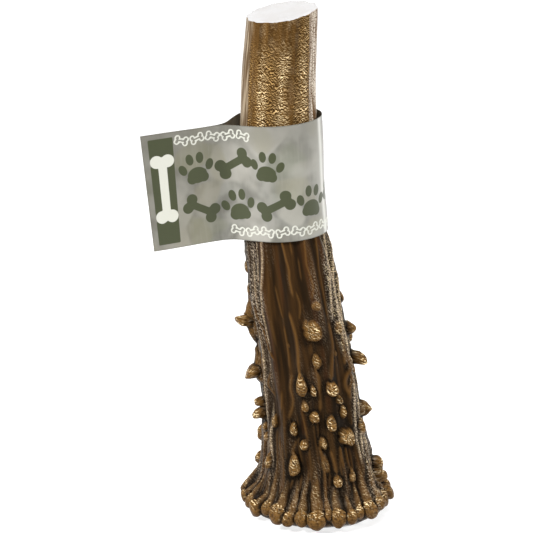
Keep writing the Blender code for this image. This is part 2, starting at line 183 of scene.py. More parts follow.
# Pearls: bony knobs and thorns that grew on the beam, each often at the lower end of a ridge.
# Height, bearing, width, length up the beam, stand, pointedness, and how far the tip droops. The two
# thorns on the left are a broad pointed pearl each, with a small blunt one for its tip.
PEARLS = (
    (100, -90, 3.8, 5.4, 1.4, 0.7, 0), (92, -76, 3.4, 5.4, 1.2, 0.7, 0), (89, 26, 3.3, 4.0, 1.1, 0.7, 0),
    (88, 90, 4.0, 5.6, 1.6, 0.8, 0),
    (77.5, -90, 9.6, 19.0, 6.4, 1.3, -3.9), (77.5, -90, 4.8, 5.2, 7.1, 0.72, 0),
    (79, 15, 7.0, 8.0, 2.9, 0.4, 0.2), (79, 53, 3.4, 5.6, 1.2, 0.8, 0.5), (75, 90, 5.2, 6.2, 3.4, 0.85, 0.2),
    (73, -18, 1.6, 1.6, 0.5, 0.7, 0), (69, 41, 2.2, 2.6, 0.7, 0.7, 0), (67, 14, 3.8, 6.0, 1.5, 0.6, 0.3),
    (66, -90, 3.5, 4.5, 1.2, 0.8, 0), (63, 87, 4.6, 4.8, 5.8, 0.75, 1.8), (61, 68, 3.4, 5.0, 1.6, 0.8, 0.4),
    (59, -8, 3.0, 8.6, 2.8, 0.6, 1.0), (56, 27, 4.2, 5.6, 2.6, 0.5, 0.9),
    (59.5, -90, 9.4, 16.0, 5.2, 1.25, 5.2), (59.5, -90, 6.0, 6.4, 6.1, 0.75, 0),
    (55, 4, 3.0, 4.6, 1.6, 0.6, 0.4), (51, 35, 3.0, 4.4, 2.0, 0.6, 0.5),
    (49, -7, 2.8, 4.0, 1.5, 0.6, 0.4), (46, 40, 3.0, 5.2, 2.0, 0.7, 0.6), (45, 2, 3.9, 4.8, 2.4, 0.5, 0.6),
    (45, -89, 4.4, 4.4, 3.4, 0.7, 0.3), (43, 84, 6.6, 7.0, 4.9, 1.15, 0.6),
    (42, 22, 3.4, 6.2, 2.4, 0.6, 0.8), (41, -49, 3.2, 5.2, 1.8, 0.7, 0.4), (41, -87, 4.4, 4.6, 4.2, 0.7, 1.2),
    (40, -22, 3.4, 5.4, 2.1, 0.6, 0.5), (38, 63, 3.4, 7.0, 2.2, 0.8, 0.6), (36, 40, 7.8, 5.8, 3.4, 0.45, 1.6),
    (36, -78, 3.4, 3.6, 1.8, 0.8, 0.3), (34, 11, 3.5, 5.2, 2.0, 0.6, 0.6), (34, -11, 3.1, 4.0, 1.7, 0.6, 0.4),
    (33, -66, 3.0, 4.4, 1.8, 0.8, 0.3), (26, -24, 4.0, 9.4, 2.5, 0.65, 0.9), (26, 8, 3.8, 9.0, 0.9, 0.6, 0.2),
    (24, -59, 3.3, 7.0, 2.0, 0.7, 0.7), (20, 38, 3.0, 5.6, 1.8, 0.6, 0.4), (19, 20, 3.6, 5.2, 2.2, 0.65, 0.7),
    (19, 88, 6.0, 7.2, 4.0, 0.6, 0.9), (15, 82, 6.4, 7.4, 4.4, 0.6, 0.3),
)
THORN_POINTEDNESS = 1.2
BACK_PEARL_COUNT = 27
BACK_PEARL_HEIGHTS = (18.0, 98.0)
BACK_PEARL_BEARINGS = (104.0, 256.0)
BACK_PEARL_STANDS = (1.2, 3.8)
BACK_PEARL_SPACING = 7.5


def surface_spot(pearl):
    """A pearl's place on the unrolled beam, across and up, in millimetres."""
    height, degrees = pearl[0], pearl[1]
    return math.radians(degrees) * float(half_width(height)), float(length_at(height))


# Behind, pearls are spread by seeded draws, more of them low down.
dice = random.Random(11)
pearls = list(PEARLS)
far_side = []
while len(far_side) < BACK_PEARL_COUNT:
    low, high = BACK_PEARL_HEIGHTS
    height = low + (high - low) * dice.random() ** 1.5
    degrees = dice.uniform(*BACK_PEARL_BEARINGS)
    stand = dice.uniform(*BACK_PEARL_STANDS)
    width = 2.4 + stand * dice.uniform(0.6, 1.0)
    pearl = (height, degrees, width, width * dice.uniform(1.1, 1.6), stand, 0.55 + 0.05 * stand, 0.3)
    spot = surface_spot(pearl)
    if all(math.dist(spot, surface_spot(other)) > BACK_PEARL_SPACING for other in far_side):
        far_side.append(pearl)
pearls += far_side

# Burr: the ring of bulbs round the foot, each the end of a root that runs down the beam like a ridge.
# Bearing of the bulb, its width, the height of its middle, and the course of its root going up.
BURR_ROOTS = (
    (-96, 4.8, 8.2, ((-93, 14), (-90, 21))),
    (-87, 4.4, 5.6, ((-82, 9), (-78, 15))),
    (-73, 5.2, 6.0, ((-70, 13), (-73, 21))),
    (-59, 5.4, 5.6, ((-55, 9), (-52, 12), (-56, 17))),
    (-46, 4.8, 7.2, ((-45, 10), (-47, 15), (-51, 21))),
    (-33, 6.4, 6.8, ((-31, 10), (-31, 14), (-31, 21))),
    (-24, 4.8, 5.6, ((-22, 9), (-21, 13), (-21, 21))),
    (-13, 5.6, 6.2, ((-13, 9), (-13, 14), (-10, 23))),
    (-1, 6.2, 6.2, ((-1, 10), (-3, 18), (-3, 29))),
    (8, 3.8, 7.4, ((7, 12), (5, 18))),
    (17, 6.2, 6.2, ((16, 10), (17, 14), (19, 20))),
    (28, 4.8, 6.1, ((27, 10), (28, 15))),
    (36, 4.6, 6.8, ((37, 10), (39, 14), (39, 21))),
    (47, 6.0, 6.8, ((48, 12), (49, 16), (48, 25))),
    (59, 4.8, 8.0, ((60, 13), (60, 22), (58, 30))),
    (71, 5.4, 7.4, ((68, 10), (64, 14))),
    (84, 5.6, 8.2, ((77, 12), (69, 17), (62, 26))),
    (96, 5.2, 9.2, ((94, 15), (92, 22))),
)
BULB_STAND = -0.3
BULB_ACROSS, BULB_LENGTH, BULB_POINTEDNESS = 1.16, 1.2, 0.58
BACK_ROOT_BEARINGS = (108.0, 252.0)
BACK_ROOT_COUNT = 13
BACK_BULB_WIDTHS = (4.6, 6.2)
BACK_BULB_HEIGHTS = (6.0, 7.6)
burr_roots = list(BURR_ROOTS)
dice = random.Random(5)
for number in range(BACK_ROOT_COUNT):
    first, final = BACK_ROOT_BEARINGS
    degrees = first + (final - first) * number / (BACK_ROOT_COUNT - 1) + dice.uniform(-1.5, 1.5)
    course = ((degrees + dice.uniform(-4, 4), 13), (degrees + dice.uniform(-6, 6), dice.uniform(19, 26)))
    burr_roots.append((degrees, dice.uniform(*BACK_BULB_WIDTHS), dice.uniform(*BACK_BULB_HEIGHTS), course))


def angle_between(one, other):
    """The shorter way round from other to one, in radians."""
    return (one - other + math.pi) % (2 * math.pi) - math.pi


def knob_outline(across, length, stand, pointedness):
    """Side view of a knob from its tip to its foot: how far out from its middle, and how high."""
    level = np.linspace(1.0, 0.0, 60)
    out = (1.0 - level if pointedness > THORN_POINTEDNESS else np.cos(level * math.pi / 2)) ** pointedness
    conical = smooth_step(pointedness, 0.6, 1.3)
    high = stand * ((1.0 - conical) * np.sin(level * math.pi / 2) + conical * level)
    way = np.concatenate(([0.0], np.cumsum(np.hypot(np.diff(out) * (across + length) / 4, np.diff(high)))))
    return out, high, way / way[-1]


# Corners are gathered towards each knob first, so that its steep sides have rows of their own.
GATHER_FROM, GATHER_TO = 2.0, 1.35
knobs = list(pearls)
for degrees, width, height, course in burr_roots:
    across, length, stand = width * BULB_ACROSS, width * BULB_LENGTH, width / 2 + BULB_STAND
    knobs.append((height, degrees, across, length, stand, BULB_POINTEDNESS, 0.0))
for height, degrees, across, length, stand, pointedness, droop in knobs:
    round_there = float(half_width(height))
    middle_up = float(length_at(height))
    aside = angle_between(bearing, math.radians(degrees)) * round_there / (across / 2)
    upward = (length_up - middle_up) / (length / 2)
    away = np.hypot(aside, upward)
    out, high, way = knob_outline(across, length, stand, pointedness)
    on_knob = np.interp(away / GATHER_TO, way, out)
    round_knob = 1.0 + (away - GATHER_TO) / (GATHER_FROM - GATHER_TO) * (GATHER_FROM - 1.0)
    new_away = np.where(away < GATHER_TO, on_knob, np.where(away < GATHER_FROM, round_knob, away))
    draw = new_away / np.maximum(away, 0.001)
    bearing = bearing + aside * (draw - 1.0) * across / 2 / round_there
    length_up = length_up + upward * (draw - 1.0) * length / 2

height_up = np.interp(length_up, side_length, side_height)
radius_there = half_width(height_up)

# Relief, in millimetres out of the beam's side. The colour of the antler follows it: crests and
# knobs are worn to gold with painted glints, and the hollows between keep the dark stain and painted shade.
# Knobs sag as well.
relief, crest, knob, glint, beads, sag = (np.zeros_like(bearing) for _ in range(6))


def blurred(field, across, along):
    """A field smoothed round the beam and along it, by numbers of columns and rows."""
    for axis, width in ((1, across), (0, along)):
        reach = int(3 * width) + 1
        pad = [(0, 0), (0, 0)]
        pad[axis] = (reach, reach)
        padded = np.pad(field, pad, mode="wrap" if axis == 1 else "edge")
        total = np.zeros_like(field)
        weights = 0.0
        for step in range(2 * reach + 1):
            weight = math.exp(-0.5 * ((step - reach) / width) ** 2)
            start = [slice(None), slice(None)]
            start[axis] = slice(step, step + field.shape[axis])
            total += weight * padded[tuple(start)]
            weights += weight
        field = total / weights
    return field


def grown_noise(seed, across, along):
    """Seeded unevenness of unit size, smoothed by numbers of columns and rows."""
    rough = np.random.default_rng(seed).standard_normal(bearing.shape)
    soft = blurred(rough, across, along)
    return soft / soft.std()


def soft_union(one, other, round_by):
    """The higher of two heights, with the corner between them rounded off where the other stands up."""
    near = np.maximum(round_by - np.abs(one - other), 0.0) / round_by * np.clip(other / round_by, 0.0, 1.0)
    return np.maximum(one, other) + near * near * round_by / 4.0


def beside_course(course):
    """The lowest and highest height of a course, and how far round from it every corner is."""
    course = sorted(course, key=lambda point: point[1])
    heights = [point[1] for point in course]
    middle = curve_through(heights, [math.radians(point[0]) for point in course])
    within = np.clip(height_up, heights[0], heights[-1])
    return heights[0], heights[-1], angle_between(bearing, middle(within)) * radius_there


def add_ridge(course, width, stand, golden, fade=3.0):
    """A thin ridge along a course of (bearing, height) points, highest in its middle."""
    global relief, crest
    bottom, top, aside = beside_course(course)
    ends = smooth_step(height_up, bottom - fade / 2, bottom + fade / 2)
    ends = ends * (1.0 - smooth_step(height_up, top - fade / 2, top + fade / 2))
    width = width * (0.5 + 0.5 * ends)
    relief = relief + stand * ends * np.exp(-((aside / width) ** 2))
    on_crest = ends * np.exp(-((aside / (0.8 * width)) ** 2))
    crest = np.maximum(crest, golden * on_crest)
    return on_crest


# The ridges on the front that show from a step away: half width, stand, gold, and course.
FRONT_RIDGES = (
    (0.50, 0.50, 1.10, ((-5, 118), (-3, 108), (-1, 103), (-2, 99), (-1, 93))),
    (0.40, 0.30, 0.80, ((7, 118), (6, 109))),
    (0.42, 0.32, 0.90, ((28, 118), (23, 106), (25, 101), (26, 96), (23, 92))),
    (0.45, 0.25, 0.60, ((14, 107), (14, 99))),
    (0.55, 0.40, 0.90, ((49, 118), (42, 104), (42, 97), (41, 91), (40, 84))),
    (0.55, 0.60, 1.05, ((-62, 86), (-59, 81), (-54, 77), (-51, 74), (-38, 67))),
    (0.45, 0.30, 0.70, ((-24, 96), (-22, 90), (-20, 84))),
    (0.50, 0.35, 0.80, ((4, 94), (6, 89), (2, 83))),
    (0.70, 0.60, 1.05, ((-9, 86), (-7, 81), (-6, 76), (-9, 62))),
    (0.50, 0.40, 0.75, ((-20, 80), (-20, 72), (-21, 64))),
    (1.00, 0.70, 0.80, ((39, 81), (38, 72), (31, 64), (27, 58))),
    (1.00, 0.70, 0.75, ((61, 66), (61, 63), (49, 57), (53, 50))),
    (0.90, 0.60, 0.85, ((12, 65), (14, 60), (13, 53), (11, 47))),
    (0.60, 0.45, 0.80, ((-53, 60), (-57, 55), (-47, 51))),
    (0.55, 0.35, 0.70, ((-33, 54), (-35, 47))),
    (0.70, 0.50, 0.80, ((-19, 61), (-23, 56), (-21, 51), (-27, 44))),
    (0.80, 0.55, 0.75, ((57, 68), (58, 58), (51, 51))),
    (0.80, 0.50, 0.80, ((56, 80), (55, 69), (53, 64))),
    (1.20, 1.40, 0.90, ((-74, 72), (-80, 65), (-88, 58))),
    (0.80, 0.55, 0.80, ((-62, 66), (-70, 57), (-76, 48))),
    (0.70, 0.45, 0.80, ((18, 31), (19, 25), (20, 19))),
    (0.70, 0.50, 0.80, ((29, 33), (27, 24))),
    (0.70, 0.50, 0.80, ((38, 34), (35, 26), (38, 21))),
    (0.60, 0.40, 0.70, ((-27, 27), (-25, 31), (-20, 35))),
    (0.80, 0.50, 0.80, ((5, 34), (6, 24), (7, 12))),
)
FRONT_GOLD = 0.8
for width, stand, golden, course in FRONT_RIDGES:
    add_ridge(course, width, stand, golden=FRONT_GOLD * golden)

# On the flanks the ridges are rows of fine beads with a painted highlight and painted glints, boldest on the
# right: half width, stand, and course. Behind, they are spread by seeded draws.
BEADED_RIDGES = (
    (0.50, 0.50, ((-33, 118), (-35, 107), (-39, 98), (-43, 90), (-44, 80), (-42, 72))),
    (0.45, 0.40, ((-42, 118), (-44, 108), (-50, 96))),
    (0.45, 0.40, ((-56, 104), (-58, 90), (-56, 84))),
    (0.50, 0.45, ((-62, 76), (-60, 64), (-64, 52), (-62, 40))),
    (0.50, 0.45, ((-52, 46), (-56, 34), (-54, 24))),
    (0.45, 0.40, ((-72, 48), (-70, 36), (-72, 26))),
    (0.45, 0.40, ((90, 118), (80, 104), (72, 92), (68, 82), (64, 70))),
    (0.50, 0.45, ((76, 118), (67, 104), (61, 94), (57, 84), (56, 74))),
    (0.45, 0.40, ((63, 113), (57, 102), (52, 92), (49, 84))),
    (0.45, 0.35, ((71, 108), (64, 96), (61, 86), (60, 76), (60, 68))),
    (0.45, 0.40, ((84, 98), (79, 86), (75, 76), (72, 64), (70, 52))),
    (0.50, 0.45, ((74, 62), (66, 50), (62, 38), (56, 27))),
    (0.45, 0.45, ((60, 56), (56, 44), (54, 34), (52, 26))),
    (0.45, 0.40, ((80, 54), (76, 42), (72, 30), (66, 22))),
    (0.45, 0.35, ((88, 46), (83, 34), (79, 24))),
)
RIGHT_FLANK_ENDS = 93.0
BOLD_BEADS, SHY_BEADS, BEAD_GLINT = 1.0, 0.55, 0.8
BACK_BEADED_FROM, BACK_BEADED_ROUND, BACK_BEADED_COUNT = 94.0, 172.0, 22


def drawn_course(degrees, starts, runs, middle_sway, top_sway):
    """A seeded course upwards from a bearing, within ranges for its start, its run and its sway."""
    start = dice.uniform(*starts)
    run = dice.uniform(*runs)
    middle = (degrees + dice.uniform(-middle_sway, middle_sway), start + run / 2)
    return (degrees, start), middle, (degrees + dice.uniform(-top_sway, top_sway), start + run)


beaded_ridges = list(BEADED_RIDGES)
dice = random.Random(57)
for number in range(BACK_BEADED_COUNT):
    part_round = (number + dice.uniform(-0.3, 0.3)) / (BACK_BEADED_COUNT - 1)
    degrees = BACK_BEADED_FROM + BACK_BEADED_ROUND * part_round
    course = drawn_course(degrees, (22.0, 78.0), (22.0, 42.0), 4.0, 6.0)
    beaded_ridges.append((0.45, dice.uniform(0.30, 0.45), course))
for width, stand, course in beaded_ridges:
    bold = BOLD_BEADS if 0 < course[0][0] < RIGHT_FLANK_ENDS else SHY_BEADS
    beads = np.maximum(beads, bold * add_ridge(course, width, stand, fade=8.0, golden=0.3))
glint = np.maximum(glint, BEAD_GLINT * beads)

# Fainter ridges run down the whole beam, closer and deeper towards the burr.
FAINT_RIDGE_COUNT = 120
dice = random.Random(23)
for number in range(FAINT_RIDGE_COUNT):
    degrees = dice.uniform(-180.0, 180.0)
    start = dice.uniform(12.0, 190.0)
    run = dice.uniform(14.0, 46.0)
    drift = dice.uniform(-5.0, 5.0)
    sway = dice.uniform(-2.5, 2.5)
    bold = dice.uniform(0.4, 1.0) * (1.0 if start < 100.0 else 0.6)
    course = (
        (degrees, start), (degrees + drift * 0.35 + sway, start + run * 0.4),
        (degrees + drift, start + run),
    )
    add_ridge(course, dice.uniform(0.5, 1.1), 0.32 * bold, fade=10.0, golden=0.16 * bold)

# Fine ribs rise between the roots of the burr and die out on the beam.
RIB_COUNT = 84
dice = random.Random(41)
for number in range(RIB_COUNT):
    degrees = -180.0 + 360.0 * (number + dice.uniform(-0.4, 0.4)) / RIB_COUNT
    course = drawn_course(degrees, (8.0, 20.0), (9.0, 30.0), 2.0, 4.0)
    bold = dice.uniform(0.4, 1.0)
    add_ridge(course, dice.uniform(0.40, 0.75), 0.55 * bold, fade=7.0, golden=0.38 * bold)

# Roots of the burr: each is a ridge that tapers out upwards, and swells downwards into its bulb.
wander = grown_noise(8, 3.0, 4.0)
crumble = grown_noise(9, 1.5, 1.5)
for degrees, width, height, course in burr_roots:
    bottom, top, aside = beside_course(((degrees, height),) + course)
    aside = np.abs(aside + 0.20 * wander)
    way_up = np.clip((height_up - bottom) / (top - bottom), 0.0, 1.0)
    left = 1.0 - way_up
    broad = 0.47 * width * (1.0 - 0.5 * smooth_step(way_up, 0.05, 0.8)) * (0.4 + 0.6 * left ** 0.5)
    stand = 0.5 * (width / 2 + BULB_STAND) * left ** 1.5 + 1.3 * left ** 0.8
    stand = stand * (1.0 + 0.08 * crumble)
    there = smooth_step(height_up, bottom - 2.0, bottom)
    profile = np.exp(-((aside / broad) ** 2.2))
    relief = soft_union(relief, there * stand * profile, 0.5)
    crest = np.maximum(crest, 0.85 * there * left ** 1.2 * smooth_step(profile, 0.20, 1.05))
    # Painted glints along the crests of the roots.
    glint = np.maximum(glint, 0.5 * there * left * smooth_step(profile, 0.6, 1.0))

# Pearls and bulbs stand on all of that: lumpy nuggets with a hollow round the foot. The long ones
# are drops, narrow at the top, with a low ridge running up from them, and the bluntest are squarish.
# Their tops are worn to gold. The upper side, which the light falls on, is painted lighter, the lower half of
# each bulb gets painted shade, and the lit tops get painted glints.
DROP_STRETCH = 1.85
SQUARISH_POINTEDNESS = 0.48
ROUND_POWER, SQUARISH_POWER = 2.0, 3.2
dice = random.Random(31)
for number, (height, degrees, across, length, stand, pointedness, droop) in enumerate(knobs):
    is_pearl = number < len(pearls)
    is_drop = is_pearl and length > DROP_STRETCH * across
    is_thorn = pointedness > THORN_POINTEDNESS
    is_squarish = pointedness < SQUARISH_POINTEDNESS
    from_middle = angle_between(bearing, math.radians(degrees)) * float(half_width(height))
    above_middle = length_up - float(length_at(height))
    upward = above_middle / (length / 2)
    if is_drop:
        tail = length * dice.uniform(1.0, 1.7)
        way_up = np.clip(above_middle / tail, 0.0, 1.0)
        beside = (from_middle + dice.uniform(-0.8, 0.8) * way_up) / (0.26 * across)
        rising = smooth_step(upward, 0.0, 0.6) * (1.0 - way_up) ** 1.2 * np.exp(-(beside ** 2))
        relief = relief + 0.34 * stand * rising
        crest = np.maximum(crest, 0.8 * smooth_step(rising, 0.15, 0.7))
    narrowing = 0.34 if is_drop else 0.08 if is_pearl else 0.0
    aside = from_middle / (across / 2) / (1.0 - narrowing * np.clip(upward, -1.0, 1.0))
    power = SQUARISH_POWER if is_squarish else ROUND_POWER
    away = (np.abs(aside) ** power + np.abs(upward) ** power) ** (1.0 / power)
    away = away * (1.0 + (0.09 if is_pearl and not is_squarish else 0.04) * wander)
    out, high, _ = knob_outline(across, length, stand, pointedness)
    here = np.interp(away, out, high)
    if pointedness < 1.0:
        here = here * (1.0 - 0.15 * np.clip(upward, -1.0, 1.0))
    here = here * (1.0 + 0.07 * crumble)
    foot_depth = 0.0 if is_thorn else min(0.45, 0.18 * stand) if is_pearl else 0.10
    foot = np.exp(-(((away - 1.25) / 0.28) ** 2)) * foot_depth
    kept = smooth_step(away, 0.1, 0.9) if is_thorn else np.clip(away - 0.2, 0.0, 1.0)
    relief = soft_union(relief * kept, here, 0.35) - foot
    risen = here / stand
    if is_pearl:
        on_top, upper_side = smooth_step(risen, 0.05, 0.80), smooth_step(upward, -1.0, 0.0)
        worn_and_lit, lit = 0.65 + 0.35 * upper_side, smooth_step(risen, 0.45, 0.95)
    else:
        on_top, upper_side = smooth_step(risen, 0.05, 0.55), smooth_step(upward, -0.75, 0.25)
        worn_and_lit, lit = 0.20 + 0.65 * upper_side, smooth_step(upward, -0.1, 0.6)
    standing_out = float(smooth_step(stand, 0.4, 2.0))
    knob = np.maximum(knob, on_top * worn_and_lit * standing_out)
    shine = (0.6 if is_drop else 1.0) * on_top * upper_side * lit * standing_out
    glint = np.where(away < 1.1, shine, glint)
    sag = sag + droop * risen ** 2

# The skin has zones. Low down it is smooth in front and pebbled like leather on both flanks, from a
# bearing that changes with the height: here height and degrees. Past the label it is wrinkled.
LEFT_BORDER = ((20.0, 52.0), (50.0, 50.0), (75.0, 46.0), (95.0, 40.0), (116.0, 36.0))
RIGHT_BORDER = (
    (20.0, 50.0), (45.0, 52.0), (60.0, 57.0), (70.0, 50.0), (85.0, 42.0), (100.0, 48.0), (116.0, 58.0),
)
degrees_round = np.degrees(bearing)
from_front = np.abs(degrees_round)
right_side = degrees_round > 0.0
lumps = grown_noise(6, 5.0, 9.0)
border = np.where(
    right_side, np.interp(height_up, *zip(*RIGHT_BORDER)), np.interp(height_up, *zip(*LEFT_BORDER)))
flank = smooth_step(from_front - border + 1.5 * lumps, -3.0, 5.0)
flank = flank * (1.0 - 0.6 * smooth_step(from_front, 125.0, 150.0))
upper = smooth_step(height_up, 117.0, 128.0)
lower = 1.0 - upper
near_cut = smooth_step(height_up, 178.0, 192.0)
burr_zone = 1.0 - smooth_step(height_up, 14.0, 34.0)
above_rim = smooth_step(height_up, 2.0, 5.0)
pearl_zone = smooth_step(height_up, 12.0, 26.0) * (1.0 - smooth_step(height_up, 44.0, 62.0))
bare_zone = smooth_step(height_up, 62.0, 84.0) * (1.0 - flank)
low_left = (1.0 - smooth_step(height_up, 66.0, 86.0)) * ~right_side

# Fibres run along the grown bone, and it is a little lumpy.
fibres = np.abs(grown_noise(3, 1.6, 18.0))
fibre_depth = 0.20 * (0.35 + 0.65 * flank) * (1.0 - 0.6 * upper) * (1.0 - 0.8 * near_cut)
relief = relief + fibre_depth * (0.8 - np.minimum(fibres, 1.6))
relief = relief + 0.12 * lumps * (1.0 - near_cut)

# Darker in hollows and grooves, among the pearls and beside the beads: partly the real stain, partly painted
# shade.
near_hollow = smooth_step(blurred(relief, 4.0, 3.0) - relief, 0.00, 0.35)
wide_hollow = smooth_step(blurred(relief, 12.0, 8.0) - relief, 0.10, 1.0)
beside_beads = smooth_step(blurred(beads, 3.0, 3.0) - beads, 0.03, 0.14)
stain_and_shade = np.maximum(near_hollow, wide_hollow) * (1.0 - 0.7 * upper) * (0.35 + 0.65 * above_rim)
stain_and_shade = stain_and_shade * (1.0 - 0.65 * bare_zone)
stain_and_shade = np.maximum(stain_and_shade, 0.58 * pearl_zone * (1.0 - flank))
stain_and_shade = np.maximum(stain_and_shade, 0.75 * beside_beads * (1.0 - knob))
groove = smooth_step(near_hollow, 0.15, 0.75) * lower

# Crests and knobs are bare of it, and the right flank gets painted glints between its fibres.
raised = smooth_step(relief - blurred(relief, 3.0, 4.0), 0.03, 0.30)
crest = np.maximum(crest, 0.55 * raised * lower) * (1.0 - groove)
knob = knob * (1.0 - 0.9 * groove)
flank_glint = 0.7 * flank * right_side * smooth_step(0.5 - fibres, 0.0, 0.4) * lower
glint = np.maximum(glint, flank_glint) * (1.0 - groove)
leather_and_glints = np.maximum(flank * (1.0 - 0.60 * low_left), 0.16 * burr_zone)
leather_and_glints = np.clip(leather_and_glints + 0.08 * lumps, 0.0, 1.0)
relief = relief + 0.07 * grown_noise(4, 1.3, 1.2) * leather_and_glints * lower


def column_at(middle, width):
    """An upright band on the upper beam, a little wavy, by its bearing and half width in degrees."""
    return np.exp(-(((degrees_round - middle - 3.0 * lumps) / width) ** 2))


# The upper beam has columns with a painted sheen that are lighter and glint brighter, smooth columns, and a
# painted sheen strip down each side without wrinkles, a painted reflection.
smooth_column = np.maximum(column_at(21.0, 10.0), 0.8 * column_at(-43.0, 6.0))
sheen_columns = np.maximum.reduce((column_at(-28.0, 6.0), column_at(4.0, 8.0), column_at(41.0, 6.0)))
sheen_columns = sheen_columns * (1.0 - 0.7 * near_cut)
sheen_strip_from = 51.0 + 5.0 * smooth_step(height_up, 130.0, 190.0)
sheen_strip = upper * smooth_step(from_front - sheen_strip_from + 1.5 * lumps, -2.0, 4.0)
sheen_strip = sheen_strip * (1.0 - smooth_step(from_front, 105.0, 130.0))
smooth_top = near_cut * (1.0 - smooth_step(degrees_round, 12.0, 30.0))
worm = (1.0 - 0.85 * smooth_column) * (1.0 - sheen_strip) * (1.0 - 0.85 * smooth_top)

# Broad flutes of the beam, then each corner goes to its place.
FLUTES = 12
FLUTE_DEPTH = 0.75


def beam_side(at_bearing, at_height):
    fade = 0.35 + 0.65 * smooth_step(at_height, 140.0, 92.0)
    sway = 0.7 * np.sin(at_height / 26.0 + 2.0 * at_bearing) + 0.012 * at_height
    slow = np.cos(4.0 * at_bearing + 1.1 + at_height / 40.0)
    flutes = FLUTE_DEPTH * fade * (np.cos(FLUTES * at_bearing + sway) + 0.7 * slow - 1.0)
    flutes = flutes * smooth_step(at_height, 0.0, 8.0)
    wide = half_width(at_height)
    return np.stack((
        axis_x(at_height) + (wide + flutes) * np.sin(at_bearing),
        axis_y(at_height) - (wide * DEPTH_RATIO + flutes) * np.cos(at_bearing),
        at_height,
    ), axis=-1)


def unit(vectors):
    return vectors / np.linalg.norm(vectors, axis=-1, keepdims=True)


NEAR_TURN, NEAR_RISE = 0.03, 0.8
on_side = beam_side(bearing, height_up)
across_side = beam_side(bearing + NEAR_TURN, height_up) - beam_side(bearing - NEAR_TURN, height_up)
low_side = np.maximum(height_up - NEAR_RISE, 0.0)
up_side = beam_side(bearing, height_up + NEAR_RISE) - beam_side(bearing, low_side)
outward = unit(np.cross(across_side, up_side))
up_side = unit(up_side)
edge_of_seal = smooth_step(length_up, 0.0, 2.0)
placed = on_side + outward * (relief * edge_of_seal)[..., None] - up_side * (sag * edge_of_seal)[..., None]
antler.data.vertices.foreach_set("co", (placed[row, column] * MM).ravel())


def keep_fields(piece, fields):
    """Keeps fields of one number for each corner, by name, for the piece's material to read."""
    for name, field in fields.items():
        layer = piece.data.attributes.new(name, "FLOAT", "POINT")
        layer.data.foreach_set("value", field.astype(np.float32))


skin_fields = {
    "crest": crest, "knob": knob, "glint": glint, "stain_and_shade": stain_and_shade, "upper": upper, "worm": worm,
    "sheen_columns": sheen_columns, "leather_and_glints": leather_and_glints, "beads": beads * (1.0 - knob),
    "left_sheen_strip": sheen_strip * ~right_side, "right_sheen_strip": sheen_strip * right_side,
}
keep_fields(antler, {
    name: np.clip(field, 0.0, 1.0)[row, column] for name, field in skin_fields.items()})

# Each corner's place on the beam as if it were straight, which the streaks and wrinkles follow.
STRAIGHT_RADIUS = 18.0
straight = np.stack(
    (STRAIGHT_RADIUS * np.sin(bearing), -STRAIGHT_RADIUS * np.cos(bearing), length_up), axis=-1)
layer = antler.data.attributes.new("grown_place", "FLOAT_VECTOR", "POINT")
layer.data.foreach_set("vector", (straight[row, column] * MM).astype(np.float32).ravel())
antler.data.update()

# Saw cut: the top is sawn off flat, rising to the right and to the back, and shows bare bone. Its
# face is drawn inwards in rings, each to a share of the last and lifted by so many millimetres.
CUT_RISE_TO_RIGHT = math.tan(math.radians(8.7))
CUT_RISE_TO_BACK = math.tan(math.radians(8.0))
CUT_RINGS = ((0.985, 0.12), (0.93, 0.0), (0.75, -0.06), (0.5, 0.0), (0.5, 0.0))
MANY_CORNERS = 8
cut_middle = Vector((float(axis_x(CUT_HEIGHT)), float(axis_y(CUT_HEIGHT)), CUT_HEIGHT)) * MM
cut_normal = Vector((-CUT_RISE_TO_RIGHT, -CUT_RISE_TO_BACK, 1.0)).normalized()
bpy.ops.object.mode_set(mode="EDIT")
bpy.ops.mesh.select_mode(type="FACE")
bpy.ops.mesh.select_all(action="SELECT")
bpy.ops.mesh.bisect(plane_co=cut_middle, plane_no=cut_normal, use_fill=True, clear_outer=True)
bpy.ops.mesh.remove_doubles(threshold=0.05 * MM)
select_only("FACE", lambda face: len(face.verts) > MANY_CORNERS)


def ring_inwards(middle, share, lift):
    """Draws the selected face inwards to a share of its size, and lifts it."""
    bpy.ops.mesh.extrude_region_move(TRANSFORM_OT_translate={"value": lift})
    bpy.ops.transform.resize(value=(share, share, share), center_override=middle + lift)


for share, lift in CUT_RINGS:
    ring_inwards(cut_middle, share, cut_normal * lift * MM)

# Seal: the flat face under the burr where the antler broke away, a little hollow. The open foot is
# closed with one face, which is drawn inwards in rings as the cut was.
SEAL_RINGS = ((0.94, 0.0), (0.85, 0.25), (0.6, 0.0), (0.5, 0.0))
select_only("EDGE", lambda edge: edge.is_boundary)
bpy.ops.mesh.edge_face_add()
bpy.ops.mesh.select_mode(type="FACE")
for share, lift in SEAL_RINGS:
    ring_inwards(Vector((0.0, 0.0, 0.0)), share, Vector((0.0, 0.0, lift)) * MM)
bpy.ops.mesh.select_all(action="SELECT")
bpy.ops.mesh.normals_make_consistent(inside=False)
bpy.ops.object.mode_set(mode="OBJECT")
bpy.ops.object.shade_smooth_by_angle(angle=math.radians(50.0))


